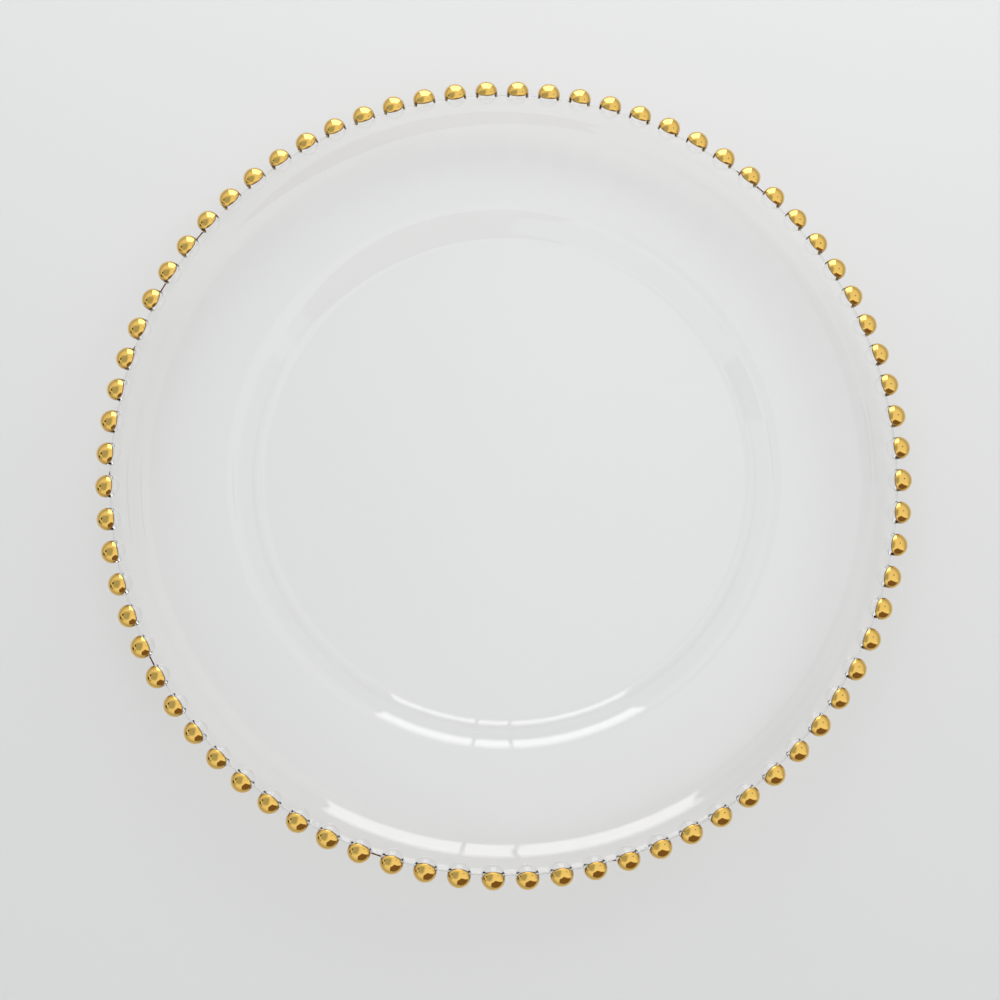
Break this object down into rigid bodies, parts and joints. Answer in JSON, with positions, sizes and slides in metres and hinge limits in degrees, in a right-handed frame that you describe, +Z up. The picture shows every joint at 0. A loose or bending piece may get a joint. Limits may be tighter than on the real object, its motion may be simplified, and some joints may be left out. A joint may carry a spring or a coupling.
{
  "type": "charger plate",
  "caption": "Round charger plate of clear pressed glass with a flat well, a wide rim and a raised edge set with flattened glass beads gilded on their outer side",
  "frame": {"origin": "centre of the flat face that the plate stands on, which is also the bottom centre of the bounding box", "axes": "+Z up through the middle of the well, +X and +Y across the plate in the plane of the table, with bead number 0 on +X"},
  "size_m": [0.33, 0.33, 0.0235],
  "materials": {
    "clear_glass": "fire-polished pressed soda-lime glass, clear",
    "bead_glass": "fire-polished pressed soda-lime glass, clear",
    "fired_gold": "bright fired gold film, brushed on"
  },
  "bodies": {
    "root": {"glass_plate": "clear_glass", "glass_beads": "bead_glass", "gold_caps": "fired_gold", "gold_threads": "fired_gold"}
  },
  "joints": []
}
